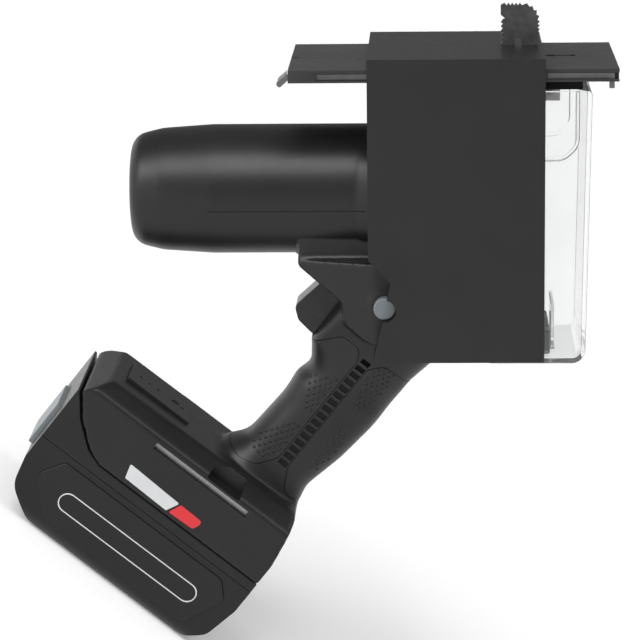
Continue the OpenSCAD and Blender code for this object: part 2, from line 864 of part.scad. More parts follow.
module pack_upper() {
    color([0.1, 0.1, 0.11]) difference() {
        union() {
            intersection() {
                pack_solid();
                box([-80, -60, pack_seam], [80, 60, 80]);
            }
            pack_rails();
        }
        intersection() {
            pack_hollow();
            box([-80, -60, 0], [80, 60, 41.2]);
        }
        box([-45, -19.5, 30], [16.5, 19.5, 52.6]);
        box([16, -19.5, 30], [53, 19.5, 46]);
        for (y = [-10, 0, 10]) box([20, y - 1.4, 44], [60, y + 1.4, 60]);
        button_pocket();
    }
}

module pack_cells() {
    color([0.2, 0.45, 0.6]) for (i = [0 : 4]) for (z = [3.1 + cell_r, 3.2 + 3 * cell_r])
        rod_y(-35 + i * 19, z, -cell_half, cell_half, cell_r);
}

module cell_straps() {
    color([0.75, 0.75, 0.7]) both_sides() for (i = [0 : 2])
        box([-39 + i * 38, -cell_half - 0.4, 8], [-39 + i * 38 + (i == 2 ? 8 : 27), -cell_half, 34]);
}

module pack_board() {
    color([0.1, 0.3, 0.18]) box([-44, -18.5, 44.4], [14, 18.5, 46]);
}

module pack_contacts() {
    color([0.8, 0.62, 0.3]) for (y = [-10, 0, 10]) translate([0, y, 0]) both_sides()
        box([24, 0.8, 46.2], [38, 1.4, 53]);
}

module label_panel() {
    panel = [
        [-44, 35.5, 3], [46, 35.5, 4], [53, 28, 4], [44, 8, 4], [-36, 8, 6], [-52, 22, 5]
    ];
    color([0.13, 0.13, 0.14]) both_sides() side_slab(panel, -foot_half - 0.9, -foot_half);
}

module release_button() {
    color([0.5, 0.51, 0.53]) {
        box([-62.6, -18, 27], [-57.8, 18, 49.6]);
        box([-57.8, -10, 30], [-56.8, 10, 46]);
    }
}

module release_spring() {
    color([0.7, 0.7, 0.72]) both_sides() difference() {
        rod_x(-56.7, -53.1, 3, 38, -13);
        rod_x(-57, -53, 2.2, 38, -13);
    }
}

housing_left();
housing_right();
housing_screws();
front_grip();
rear_grip();
grip_insets();
gear_housing();
side_covers();
case_rail();
base_plate();
plate_screws();
plate_frame();
guide_rule();
blade();
blade_bracket();
clamp_plate();
clamp_screws();
plunger();
plunger_bushes();
pinion();
drive_gear();
crank_shaft();
crank_bearings();
motor_can();
motor_magnets();
motor_bearings();
brush_holders();
motor_shaft();
armature_core();
armature_windings();
commutator();
cooling_fan();
dust_case();
case_latch();
case_socket();
trigger();
trigger_spring();
trigger_switch();
lock_button();
controller_board();
terminal_block();
level_panel();
hook_bar();
motor_leads();
pack_lower();
pack_upper();
pack_cells();
cell_straps();
pack_board();
pack_contacts();
label_panel();
release_button();
release_spring();
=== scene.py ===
# %% [markdown]
# A cordless box cutter for plasterboard: a motor barrel, a pistol grip with rubber
# pads, a slide-on battery pack, a flat base plate, a saw blade and a clear dust case.
# The measured model is loaded as a fixed frame. Each cell below gives one piece its
# finished skin or its finish, and every piece rides on the body that it moves with.

# %% Load the frame
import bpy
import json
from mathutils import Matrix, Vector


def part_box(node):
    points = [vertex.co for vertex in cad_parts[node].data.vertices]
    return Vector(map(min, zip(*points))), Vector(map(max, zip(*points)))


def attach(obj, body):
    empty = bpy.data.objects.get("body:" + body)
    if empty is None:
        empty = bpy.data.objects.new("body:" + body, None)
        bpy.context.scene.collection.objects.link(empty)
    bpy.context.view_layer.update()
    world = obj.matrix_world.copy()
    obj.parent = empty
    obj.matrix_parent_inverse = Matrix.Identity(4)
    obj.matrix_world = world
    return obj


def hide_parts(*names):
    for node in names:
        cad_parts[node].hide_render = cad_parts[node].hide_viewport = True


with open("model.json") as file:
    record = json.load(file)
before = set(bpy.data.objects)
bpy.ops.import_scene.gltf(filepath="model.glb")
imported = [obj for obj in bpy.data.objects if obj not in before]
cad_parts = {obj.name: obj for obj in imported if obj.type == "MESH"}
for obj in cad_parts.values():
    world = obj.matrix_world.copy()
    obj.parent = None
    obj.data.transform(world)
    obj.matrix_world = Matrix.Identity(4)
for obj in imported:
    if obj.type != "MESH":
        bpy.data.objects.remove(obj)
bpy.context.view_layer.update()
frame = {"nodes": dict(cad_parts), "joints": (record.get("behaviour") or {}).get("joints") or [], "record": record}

import json
import math
import bmesh
import bpy
from mathutils import Matrix, Vector
from mathutils.bvhtree import BVHTree

MM = 0.001
scene = bpy.context.scene
print("nodes in the frame:", len(frame["nodes"]))

# %% [markdown]
# The head of the tool leans back against the upright grip, so its parts are easiest to
# describe in a frame of their own: x runs away from the motor, y to the far side, z out
# of the base plate. The joints know these directions: the dust case slides along x and
# the blade along z. The work face mount then gives the place where the blade comes out.

# %% The head's own frame
joint = {j["name"]: j for j in frame["joints"]}
mount = {m["name"]: m for m in frame["record"]["mounts"]}
head_x = Vector(joint["case_slide"]["axis"]).normalized()
head_z = Vector(joint["blade_slide"]["axis"]).normalized()
head_y = Vector((0, 1, 0))
blade_exit = Vector(mount["work_face"]["pos_m"]) + 50 * MM * head_x - 12 * MM * head_y
HEAD = Matrix((head_x, head_y, head_z)).transposed().to_4x4()
HEAD.translation = blade_exit
UPRIGHT = Matrix.Identity(4)
print("blade leaves the plate at", [round(v / MM, 1) for v in blade_exit], "mm")

# %% [markdown]
# The camera is a long lens, well back and a little above, square to the tool's near
# side. It leans with the head, so that the base plate runs level across the picture.

# %% The camera
def look_from(target, azimuth, elevation, roll, distance, lens):
    az, el, tilt = (math.radians(a) for a in (azimuth, elevation, roll))
    back = Vector((math.sin(az) * math.cos(el), -math.cos(az) * math.cos(el), math.sin(el)))
    level = Vector((math.cos(az), math.sin(az), 0))
    rise = back.cross(level)
    right = level * math.cos(tilt) + rise * math.sin(tilt)
    up = rise * math.cos(tilt) - level * math.sin(tilt)
    lean = HEAD.to_3x3()
    data = bpy.data.cameras.new("view")
    data.lens = lens
    data.sensor_width = 36
    camera = bpy.data.objects.new("view", data)
    scene.collection.objects.link(camera)
    camera.matrix_world = (lean @ Matrix((right, up, back)).transposed()).to_4x4()
    camera.matrix_world.translation = target + lean @ back * distance
    return camera


view_centre = HEAD @ Vector((-92 * MM, 0, -122.7 * MM))
scene.camera = look_from(view_centre, 2.19, 13.3, -0.68, 1.4, 170.1)
print("camera stands", round(scene.camera.location.length, 2), "m from the origin")

# %% [markdown]
# Black plastic is seen almost only by what it mirrors. A dim even surround keeps the
# blacks black. A wide sun-like lamp, high in front, gives the barrel its soft highlight,
# a box at the side picks out the front of the grip, and an overhead lamp that casts no
# shadow brings the pale floor up to nearly white.

# %% Floor, surround and lamps
world = bpy.data.worlds.new("surround")
scene.world = world
world.use_nodes = True
world.node_tree.nodes["Background"].inputs["Color"].default_value = (1, 1, 1, 1)
world.node_tree.nodes["Background"].inputs["Strength"].default_value = 0.26
scene.view_settings.view_transform = "Standard"


def add_lamp(name, kind, place, aim, power):
    data = bpy.data.lights.new(name, kind)
    data.energy = power
    lamp = bpy.data.objects.new(name, data)
    scene.collection.objects.link(lamp)
    lamp.location = place
    lamp.rotation_euler = (Vector(aim) - Vector(place)).to_track_quat("-Z", "Y").to_euler()
    return data


wide_sun = add_lamp("wide_sun", "SUN", (-0.50, -0.56, 0.62), (0, 0, 0), 1.9)
wide_sun.angle = math.radians(34)
overhead = add_lamp("overhead", "SUN", (0.1, -0.1, 1), (0, 0, 0), 1.5)
overhead.angle = math.radians(70)
overhead.use_shadow = False
side_box = add_lamp("side_box", "AREA", (-0.95, -0.5, 0.32), (0, 0, 0.15), 4.5)
side_box.shape = "RECTANGLE"
side_box.size, side_box.size_y = 0.5, 0.45

floor_data = bpy.data.meshes.new("floor")
floor_data.from_pydata([(-40, -40, 0), (40, -40, 0), (40, 40, 0), (-40, 40, 0)], [], [(0, 1, 2, 3)])
floor = bpy.data.objects.new("floor", floor_data)
scene.collection.objects.link(floor)

# %% [markdown]
# Every finish comes from one recipe. Object coordinates are in metres, so a noise with
# scale 1 / size gives spots of that size. A coarse noise mottles colour and roughness,
# as handling does. A fine one is the mould's spark-eroded grain, fed to a bump. Where
# the mesh is convex, its pointiness picks out edges, which rub smooth and pale first.

# %% The recipe for a finish
def wire(tree, source, target):
    tree.links.new(source, target)


def noise(tree, place, size_mm, detail=3.0, stretch=None):
    node = tree.nodes.new("ShaderNodeTexNoise")
    node.inputs["Scale"].default_value = 1 / (size_mm * MM)
    node.inputs["Detail"].default_value = detail
    if stretch:
        mapping = tree.nodes.new("ShaderNodeMapping")
        mapping.inputs["Scale"].default_value = stretch
        wire(tree, place, mapping.inputs["Vector"])
        place = mapping.outputs["Vector"]
    wire(tree, place, node.inputs["Vector"])
    return node.outputs["Fac"]


def ranged(tree, value, low, high, start=0.3, end=0.7):
    node = tree.nodes.new("ShaderNodeMapRange")
    for name, number in zip(("From Min", "From Max", "To Min", "To Max"), (start, end, low, high)):
        node.inputs[name].default_value = number
    wire(tree, value, node.inputs["Value"])
    return node.outputs["Result"]


def mixed(tree, factor, first, second):
    node = tree.nodes.new("ShaderNodeMix")
    node.data_type = "RGBA"
    wire(tree, factor, node.inputs["Factor"])
    for socket, value in ((node.inputs[6], first), (node.inputs[7], second)):
        if isinstance(value, tuple):
            socket.default_value = (*value, 1)
        else:
            wire(tree, value, socket)
    return node.outputs[2]


def finish(name, colour, rough, spread=0.06, mottle=0.18, patch=22, grain=0.45, depth=0.02,
           wear=0.0, worn=(0.3, 0.3, 0.3), metal=0.0, brush=None, specular=0.5, coat=0.0):
    material = bpy.data.materials.new(name)
    material.use_nodes = True
    tree = material.node_tree
    shader = tree.nodes["Principled BSDF"]
    shader.inputs["Metallic"].default_value = metal
    shader.inputs["Specular IOR Level"].default_value = specular
    shader.inputs["Coat Weight"].default_value = coat
    place = tree.nodes.new("ShaderNodeTexCoord").outputs["Object"]
    patches = noise(tree, place, patch)
    dark = tuple(c * (1 - mottle) for c in colour)
    light = tuple(min(1, c * (1 + mottle)) for c in colour)
    tone = mixed(tree, ranged(tree, patches, 0, 1), dark, light)
    scuffs = noise(tree, place, patch / 6, 4, brush)
    gloss = ranged(tree, scuffs, rough - spread, rough + spread)
    if wear:
        edge = tree.nodes.new("ShaderNodeNewGeometry").outputs["Pointiness"]
        rubbed = ranged(tree, edge, 0, wear, 0.52, 0.6)
        tone = mixed(tree, rubbed, tone, worn)
    wire(tree, tone, shader.inputs["Base Color"])
    wire(tree, gloss, shader.inputs["Roughness"])
    bump = tree.nodes.new("ShaderNodeBump")
    bump.inputs["Strength"].default_value = 0.6
    bump.inputs["Distance"].default_value = depth * MM
    wire(tree, noise(tree, place, grain, 2, brush), bump.inputs["Height"])
    wire(tree, bump.outputs["Normal"], shader.inputs["Normal"])
    return material


# %% [markdown]
# The blacks differ by their moulds and fillers, not by colour. The housing is a satin
# glass-filled nylon, the covers a finer satin, the pads a dull rubber, the trigger a
# smooth acetal. The metals differ by how they were made: blackened, plated, sintered,
# turned or stamped. Each is one call of the recipe.

# %% Blacks and greys
finishes = {
    "housing_black": finish("satin_nylon", (0.006, 0.006, 0.0064), 0.4, 0.02, grain=0.5, depth=0.012,
                            wear=0.05, worn=(0.06, 0.06, 0.06), specular=0.4),
    "cover_black": finish("fine_satin", (0.009, 0.009, 0.0095), 0.42, 0.03, grain=0.35, depth=0.012, specular=0.4),
    "rubber_grip": finish("grip_rubber", (0.009, 0.009, 0.0095), 0.42, 0.03, grain=0.3, depth=0.02, specular=0.4),
    "rubber_dark": finish("rubber_inset", (0.004, 0.004, 0.004), 0.6, grain=0.3, depth=0.02, specular=0.2),
    "pack_black": finish("pack_nylon", (0.004, 0.0042, 0.0043), 0.34, 0.03, grain=0.4, depth=0.008,
                         wear=0.05, worn=(0.06, 0.06, 0.06), specular=0.36),
    "label_black": finish("label_satin", (0.003, 0.0032, 0.0032), 0.3, 0.03, grain=0.3, depth=0.005, specular=0.4),
    "black_trim": finish("smooth_acetal", (0.006, 0.006, 0.0065), 0.3, grain=0.6, depth=0.004, specular=0.45),
    "button_grey": finish("silver_grey", (0.14, 0.155, 0.165), 0.34, mottle=0.06, grain=0.4, depth=0.008),
    "fan_plastic": finish("fan_nylon", (0.02, 0.02, 0.022), 0.5, grain=0.5, depth=0.02),
    "lead": finish("cable_sheath", (0.22, 0.03, 0.03), 0.5, grain=0.8, depth=0.01),
    "board": finish("circuit_board", (0.02, 0.09, 0.045), 0.4, patch=6, grain=0.5, depth=0.03, coat=0.3),
    "cell_wrap": finish("shrink_sleeve", (0.03, 0.14, 0.26), 0.3, patch=30, grain=3.0, depth=0.03),
    # painted shade: a grey for the sheet inside the dust case's edge, standing in for the tint that refraction
    # gives clear plastic there
    "edge_shade_grey": finish("painted_edge_grey_sheet", (0.085, 0.083, 0.087), 0.35, mottle=0.1, grain=0.5, depth=0.004),
    "pale_print": finish("pale_print", (0.55, 0.56, 0.57), 0.45, mottle=0.05, grain=0.3, depth=0.004),
    "red_print": finish("red_print", (0.6, 0.02, 0.025), 0.42, mottle=0.06, grain=0.3, depth=0.004),
}
print("plastics and rubbers:", len(finishes))

# %% Metals
finishes.update({
    "plate_black": finish("painted_plate", (0.016, 0.0152, 0.016), 0.42, 0.03, grain=0.7, depth=0.012,
                          wear=0.15, worn=(0.12, 0.12, 0.12), specular=0.4),
    "steel": finish("ground_steel", (0.3, 0.3, 0.31), 0.34, metal=1, brush=(1, 1, 14), grain=0.4),
    "blade_steel": finish("blackened_blade", (0.07, 0.068, 0.068), 0.4, metal=0.5, mottle=0.3, patch=5,
                          grain=0.3, brush=(1, 1, 8)),
    "screw_steel": finish("black_oxide", (0.09, 0.09, 0.095), 0.38, metal=0.8, patch=3, grain=0.3,
                          wear=0.5, worn=(0.4, 0.4, 0.4)),
    "bronze": finish("sintered_bronze", (0.42, 0.25, 0.11), 0.45, metal=1, patch=4, grain=0.25, depth=0.03),
    "can_steel": finish("zinc_can", (0.5, 0.5, 0.52), 0.36, metal=1, patch=9, grain=0.8),
    "magnet": finish("ferrite", (0.05, 0.05, 0.055), 0.7, patch=4, grain=0.25, depth=0.05),
    "copper": finish("enamelled_copper", (0.55, 0.2, 0.07), 0.28, metal=1, patch=3, brush=(1, 20, 1)),
    "contact": finish("plated_contact", (0.72, 0.5, 0.22), 0.25, metal=1, patch=4),
    "nickel": finish("nickel_strip", (0.62, 0.6, 0.56), 0.25, metal=1, patch=6, grain=0.5),
})
print("finishes so far:", len(finishes))

# %% [markdown]
# The dust case is clear polycarbonate 2 mm thick. It is one glass-like shader: full
# transmission, the real index of refraction, and a roughness that a fine noise breaks
# up, because dust from cutting plaster leaves a slight haze and hairline scratches.

# %% Clear polycarbonate
def clear_plastic(name, tint, haze):
    material = bpy.data.materials.new(name)
    material.use_nodes = True
    tree = material.node_tree
    shader = tree.nodes["Principled BSDF"]
    shader.inputs["Transmission Weight"].default_value = 0.95
    shader.inputs["IOR"].default_value = 1.25
    place = tree.nodes.new("ShaderNodeTexCoord").outputs["Object"]
    tone = mixed(tree, ranged(tree, noise(tree, place, 30), 0, 1), tint, tuple(c * 0.97 for c in tint))
    wire(tree, tone, shader.inputs["Base Color"])
    wire(tree, ranged(tree, noise(tree, place, 4, 5, (1, 1, 6)), 0.0, haze), shader.inputs["Roughness"])
    return material


finishes["clear_case"] = clear_plastic("clear_polycarbonate", (0.99, 0.993, 0.996), 0.05)

# %% A pale floor
floor_data.materials.append(finish("pale_floor", (0.93, 0.93, 0.93), 0.8, mottle=0.005, patch=400,
                                   grain=2, depth=0.001, specular=0.1))

# %% [markdown]
# Each node of the frame belongs to one slot of the record, and each slot has a finish.
# Inner parts such as gears, cells and the motor keep their measured meshes, which are
# already right, and only get their finish here.

# %% Dress the measured nodes
slot_of = {part["node"]: part["material_slot"] for part in frame["record"]["subparts"]}
body_of = {node: body for body, nodes in frame["record"]["behaviour"]["bodies"].items() for node in nodes}
for name, thing in frame["nodes"].items():
    thing.data.materials.clear()
    thing.data.materials.append(finishes[slot_of[name]])
print("dressed", len(frame["nodes"]), "nodes in", len(set(slot_of.values())), "finishes")

# %% [markdown]
# A moulded or cast part has no truly sharp edge, and a rendered one only looks real
# when its edges catch light. So a measured mesh is copied, its flat facets are merged,
# and a small bevel runs round every edge over 30 degrees. Weighted normals keep the
# faces beside the bevel flat.

# %% Softened copies of measured parts
def clean_copy(source, merge=0.4):
    mesh = bpy.data.meshes.new(source.name + "_skin")
    mesh.from_pydata([v.co for v in source.vertices], [], [tuple(p.vertices) for p in source.polygons])
    form = bmesh.new()
    form.from_mesh(mesh)
    bmesh.ops.remove_doubles(form, verts=form.verts, dist=0.002 * MM)
    bmesh.ops.dissolve_limit(form, angle_limit=math.radians(merge), verts=form.verts, edges=form.edges)
    form.to_mesh(mesh)
    form.free()
    return mesh


def add_piece(name, mesh, body, slot, *nodes):
    piece = bpy.data.objects.new(name, mesh)
    scene.collection.objects.link(piece)
    mesh.materials.clear()
    mesh.materials.append(finishes[slot])
    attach(piece, body)
    if nodes:
        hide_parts(*nodes)
    return piece


def soften(piece, width, segments=2, angle=30):
    for face in piece.data.polygons:
        face.use_smooth = True
    bevel = piece.modifiers.new("edges", "BEVEL")
    bevel.width = width * MM
    bevel.segments = segments
    bevel.limit_method = "ANGLE"
    bevel.angle_limit = math.radians(angle)
    bevel.use_clamp_overlap = True
    weighted = piece.modifiers.new("flat_faces", "WEIGHTED_NORMAL")
    weighted.weight = 60
    return piece


def softened(node, width, segments=2, angle=30):
    mesh = clean_copy(frame["nodes"][node].data)
    piece = add_piece(node + "_skin", mesh, body_of[node], slot_of[node], node)
    return soften(piece, width, segments, angle)


edge_widths = {
    "gear_housing": 0.7, "side_covers": 0.5, "case_rail": 0.3, "base_plate": 0.35,
    "plate_frame": 0.3, "guide_rule": 0.2, "blade_bracket": 0.3, "clamp_plate": 0.3,
    "case_latch": 0.3, "case_socket": 0.4, "dust_case": 0.5, "trigger": 1.5,
    "lock_button": 0.7, "pack_lower": 0.8, "pack_upper": 0.5, "label_panel": 0.35,
    "release_button": 0.7, "level_panel": 0.35, "hook_bar": 0.3,
}
skins = {node: softened(node, width) for node, width in edge_widths.items()}
print("softened", len(skins), "parts")

# %% [markdown]
# The housing is one smooth body: a turned barrel, a grip of ever-changing section, a
# boxy foot and a shoulder that joins them. Each is easy to make alone. Joining them and
# remeshing in small voxels melts them into one skin, and a few rounds of smoothing give
# every inner and outer corner the radius that a mould needs. Outlines are drawn in side
# view as corners, each with its own radius.

# %% Outlines and slabs
def rounded(corners, steps=7):
    points = []
    for i, (x, z, r) in enumerate(corners):
        at = Vector((x, z))
        if r == 0:
            points.append(at)
            continue
        before = (Vector(corners[i - 1][:2]) - at).normalized()
        after = (Vector(corners[(i + 1) % len(corners)][:2]) - at).normalized()
        half = before.angle(after) / 2
        middle = at + (before + after).normalized() * r / math.sin(half)
        a = at + before * r / math.tan(half) - middle
        b = at + after * r / math.tan(half) - middle
        sweep = a.angle_signed(b)
        for k in range(steps + 1):
            points.append(middle + Matrix.Rotation(-sweep * k / steps, 2) @ a)
    return points


def slab(points, near, far, where=UPRIGHT):
    count = len(points)
    corners = [where @ Vector((p[0] * MM, y * MM, p[1] * MM)) for y in (near, far) for p in points]
    faces = [tuple(range(count)), tuple(range(2 * count - 1, count - 1, -1))]
    faces += [(i, i + count, (i + 1) % count + count, (i + 1) % count) for i in range(count)]
    mesh = bpy.data.meshes.new("slab")
    mesh.from_pydata(corners, [], faces)
    outward_normals(mesh)
    return mesh


def outward_normals(mesh):
    form = bmesh.new()
    form.from_mesh(mesh)
    bmesh.ops.recalc_face_normals(form, faces=form.faces)
    form.to_mesh(mesh)
    form.free()


def rings_to_mesh(rings, name="rings"):
    count = len(rings[0])
    faces = [tuple(range(count - 1, -1, -1)), tuple((len(rings) - 1) * count + i for i in range(count))]
    for k in range(len(rings) - 1):
        for i in range(count):
            j = (i + 1) % count
            faces.append((k * count + i, k * count + j, (k + 1) * count + j, (k + 1) * count + i))
    mesh = bpy.data.meshes.new(name)
    mesh.from_pydata([p for ring in rings for p in ring], [], faces)
    outward_normals(mesh)
    return mesh


# %% Joining, cutting and melting meshes
def shown_mesh(thing):
    graph = bpy.context.evaluated_depsgraph_get()
    mesh = bpy.data.meshes.new_from_object(thing.evaluated_get(graph), depsgraph=graph)
    mesh.materials.clear()
    return mesh


def temporary(mesh):
    thing = bpy.data.objects.new("temporary", mesh)
    scene.collection.objects.link(thing)
    return thing


def combined(mesh, other, operation):
    stock, tool = temporary(mesh), temporary(other)
    cut = stock.modifiers.new("cut", "BOOLEAN")
    cut.operation, cut.object, cut.solver = operation, tool, "EXACT"
    result = shown_mesh(stock)
    bpy.data.objects.remove(stock)
    bpy.data.objects.remove(tool)
    return result


def joined(*meshes):
    form = bmesh.new()
    for mesh in meshes:
        form.from_mesh(mesh)
    result = bpy.data.meshes.new("joined")
    form.to_mesh(result)
    form.free()
    return result


def melted(mesh, voxel, rounds):
    thing = temporary(mesh)
    remesh = thing.modifiers.new("melt", "REMESH")
    remesh.mode, remesh.voxel_size = "VOXEL", voxel * MM
    smooth = thing.modifiers.new("smooth", "SMOOTH")
    smooth.factor, smooth.iterations = 0.5, rounds
    result = shown_mesh(thing)
    bpy.data.objects.remove(thing)
    return result


# %% [markdown]
# The barrel is turned: one profile spun round the motor's axis. Its end is flat with a
# round edge, and it swells slightly towards the head. Halfway down its near side the
# mould steps out by a hair, which shows as a fine line of light.

# %% The turned barrel
barrel_radius = 29.5
motor_axis = -60.5
barrel_end = -177.2
barrel_profile = rounded([(barrel_end, 0, 0), (barrel_end, 24.5, 8), (barrel_end + 14, 27.9, 6),
                          (-140, barrel_radius, 30), (-60, barrel_radius, 0), (-60, 0, 0)], 10)


def barrel_radius_at(x):
    for a, b in zip(barrel_profile, barrel_profile[1:]):
        if a.x <= x <= b.x and b.x > a.x:
            return a.y + (b.y - a.y) * (x - a.x) / (b.x - a.x)
    return 0


def turned(profile, inset=0.0, steps=128):
    rings = []
    for p in profile[1:-1]:
        r = max(p.y - inset, 0.5)
        x = max(p.x, barrel_end + inset)
        rings.append([HEAD @ Vector((x * MM, r * math.sin(2 * math.pi * i / steps) * MM,
                                     (motor_axis + r * math.cos(2 * math.pi * i / steps)) * MM))
                      for i in range(steps)])
    return rings_to_mesh(rings, "barrel")


barrel = turned(barrel_profile)
print("barrel faces:", len(barrel.polygons))

# %% [markdown]
# The grip is lofted: a rounded section at each height, as deep as the side outline is
# there and as wide as a hand likes. Towards the foot the sections flare, so the grip
# runs into it with a hollow curve.

# %% The lofted grip
grip_outline = rounded([
    (8, 62, 0), (10.5, 81, 5), (16.5, 90, 14), (18, 116, 40), (16.6, 127, 5),
    (19, 135, 6), (10.5, 146.2, 2), (10.5, 200, 0), (60, 200, 0), (61.2, 181.4, 0),
    (58.5, 158, 16), (60, 131, 80), (57.5, 108, 70), (53.2, 88, 12), (58, 62, 0)])


def span_at(outline, height):
    hits = []
    for i, b in enumerate(outline):
        a = outline[i - 1]
        if (a.y - height) * (b.y - height) <= 0 and a.y != b.y:
            hits.append(a.x + (b.x - a.x) * (height - a.y) / (b.y - a.y))
    return min(hits), max(hits)


def eased(value, start, end):
    t = min(max((value - start) / (end - start), 0), 1)
    return t * t * (3 - 2 * t)


def grip_ring(height, inset, steps=72):
    front, back = span_at(grip_outline, height)
    flare = (1 - eased(height, 66, 92)) ** 1.6
    half = 18 + 7 * flare + 15 * eased(height, 142, 184) - inset
    front, back = front - 5 * flare + inset, back + 1.0 * flare - inset
    power = 2.7 + 2.3 * eased(height, 138, 156)
    ring = []
    for i in range(steps):
        a = 2 * math.pi * i / steps
        c, s = math.cos(a), math.sin(a)
        x = (front + back) / 2 + (back - front) / 2 * math.copysign(abs(c) ** (2 / power), c)
        ring.append(Vector((x * MM, half * math.copysign(abs(s) ** (2 / power), s) * MM, height * MM)))
    return ring


def lofted_grip(inset=0.0):
    return rings_to_mesh([grip_ring(h, inset) for h in range(64, 199, 2)], "grip")


grip = lofted_grip()
print("grip faces:", len(grip.polygons))

# %% The foot and the shoulder
foot_outline = rounded([
    (60, 43.5, 0), (60, 56, 6), (56, 79, 5), (-49.5, 77.5, 4), (-58.8, 67, 1),
    (-50.5, 56, 8), (-39, 46.5, 8), (-31, 43.5, 6)])
foot_section = [(-37, 40), (-37, 71.5), (-25, 79.4), (25, 79.4), (37, 71.5), (37, 40)]
shoulder_outline = rounded([
    (-16.3, 171, 1), (9.5, 171, 3), (16, 164, 3), (30, 164, 3),
    (61, 183, 0), (40, 214, 0), (-9, 214, 0), (-27.5, 186.5, 3)])
shoulder_plan = [(-130, -20), (-98, -24), (-66, -34), (0, -34), (0, 34), (-66, 34), (-98, 24), (-130, 20)]


def across(points, start, end):
    rings = [[Vector((x * MM, p[0] * MM, p[1] * MM)) for p in points] for x in (start, end)]
    return rings_to_mesh(rings, "across")


def disc(x, z, near, far, radius, where=HEAD, steps=48):
    circle = [(x + radius * math.cos(2 * math.pi * i / steps), z + radius * math.sin(2 * math.pi * i / steps))
              for i in range(steps)]
    return slab(circle, near, far, where)


foot = combined(slab(foot_outline, -37, 37), across(foot_section, -70, 70), "INTERSECT")
plan = rings_to_mesh([[HEAD @ (Vector((x, y, z)) * MM) for x, y in shoulder_plan] for z in (-170, -89)])
wide_shoulder = combined(slab(shoulder_outline, -34, 34), plan, "INTERSECT")
shoulder = joined(wide_shoulder, slab(shoulder_outline, -22, 22))
button_boss = disc(-61.5, -108.7, -34.6, 34.6, 7.4)
print("foot faces:", len(foot.polygons))

# %% [markdown]
# Now the forms are melted together. Voxels slightly ripple a large round surface, so
# afterwards every point that is still close to the turned barrel is put exactly back
# on it. Points in the fillets are further away and stay where smoothing left them.

# %% Melt the housing
voxel = 1.0
housing = melted(joined(barrel, grip, foot, shoulder, button_boss), voxel, 10)
into_head = HEAD.inverted()
for point in housing.vertices:
    local = (into_head @ point.co) / MM
    reach = Vector((local.y, local.z - motor_axis))
    ideal = barrel_radius_at(local.x)
    miss = abs(reach.length - ideal)
    if barrel_end + 16 < local.x < -62 and miss < 0.6:
        pull = 1 - eased(miss, 0.25, 0.6)
        ideal += 3.2 * eased(local.x, -75, -65) * eased(abs(local.y), 17, 27)
        reach = reach.normalized() * (reach.length + (ideal - reach.length) * pull)
        point.co = HEAD @ (Vector((local.x, reach.x, reach.y + motor_axis)) * MM)
print("melted housing:", len(housing.polygons), "faces")

# %% [markdown]
# A rubber pad lies in a pocket 1.2 mm deep with a hairline gap round it. The pocket's
# floor is the housing's own surface moved inwards, so the pad keeps the same thickness
# over every curve. The pad's face is that surface moved out by a touch, which makes the
# rubber stand slightly proud, as it does on the real grip.

# %% Pads and their pockets
pad_zones = {
    "front_grip": [(5, 84, 0), (18, 81.5, 8), (27, 84, 8), (33.2, 93, 8), (33.2, 152, 4),
                   (30, 158, 4), (20, 158, 3), (12, 145.8, 1), (5, 145.8, 0)],
    "rear_grip": [(39, 92, 6), (45, 81, 6), (66, 79.8, 0), (66, 159, 0), (44, 159, 5), (39, 152, 4)],
}


def moved_along_normals(mesh, distance):
    copy = mesh.copy()
    for point, source in zip(copy.vertices, mesh.vertices):
        point.co = source.co + source.normal * distance * MM
    return copy


def shrunk(corners, by):
    middle = sum((Vector(c[:2]) for c in corners), Vector((0, 0))) / len(corners)
    return [(x - math.copysign(by, x - middle.x), z - math.copysign(by, z - middle.y), r)
            for x, z, r in corners]


def box_mesh(low, high):
    return slab([(low[0], low[2]), (high[0], low[2]), (high[0], high[2]), (low[0], high[2])], low[1], high[1])


pocket_floor = moved_along_normals(housing, -1.2)
pad_face = moved_along_normals(housing, 0.12)
trigger_window = box_mesh((5, -9.3, 146.6), (18.6, 9.3, 170.6))
pockets, pads = [], {}
for node, corners in pad_zones.items():
    pockets.append(combined(slab(rounded(corners), -30, 30), pocket_floor, "DIFFERENCE"))
    pad = combined(slab(rounded(shrunk(corners, 0.25)), -30, 30), pocket_floor, "DIFFERENCE")
    pad = combined(pad, pad_face, "INTERSECT")
    pads[node] = combined(pad, trigger_window, "DIFFERENCE")
    print(node, "faces:", len(pads[node].polygons))

# %% [markdown]
# The raised dots on the rubber are real domes, because a bump alone would leave the
# outline flat. A ray is shot sideways at each place of a staggered grid to find the
# rubber's surface and its slope, and a low dome is stood there.

# %% Dots on the rubber
def dome(at, normal, radius, height, steps=8):
    turn = normal.to_track_quat("Z", "Y").to_matrix()
    rings = []
    for rise in (0.0, 0.55, 0.9):
        r = radius * math.sqrt(1 - rise ** 2)
        rings.append([at + turn @ Vector((r * math.cos(2 * math.pi * i / steps) * MM,
                                          r * math.sin(2 * math.pi * i / steps) * MM,
                                          (rise * height - 0.05) * MM)) for i in range(steps)])
    return rings_to_mesh(rings, "dome")


def inside(point, corners):
    hit = False
    for i, b in enumerate(corners):
        a = corners[i - 1]
        if (a[1] > point[1]) != (b[1] > point[1]):
            if point[0] < (b[0] - a[0]) * (point[1] - a[1]) / (b[1] - a[1]) + a[0]:
                hit = not hit
    return hit


dot_fields = {
    "front_grip": [[(20, 134), (31, 139), (31.5, 120), (29, 118), (22, 126)],
                   [(20, 88), (27, 87), (31.5, 97), (31, 112), (25, 110), (20, 98)]],
    "rear_grip": [[(40, 158), (51, 158), (51.5, 138), (47, 132), (42, 142)],
                  [(47, 122), (54, 122), (52, 96), (46, 100)]],
}


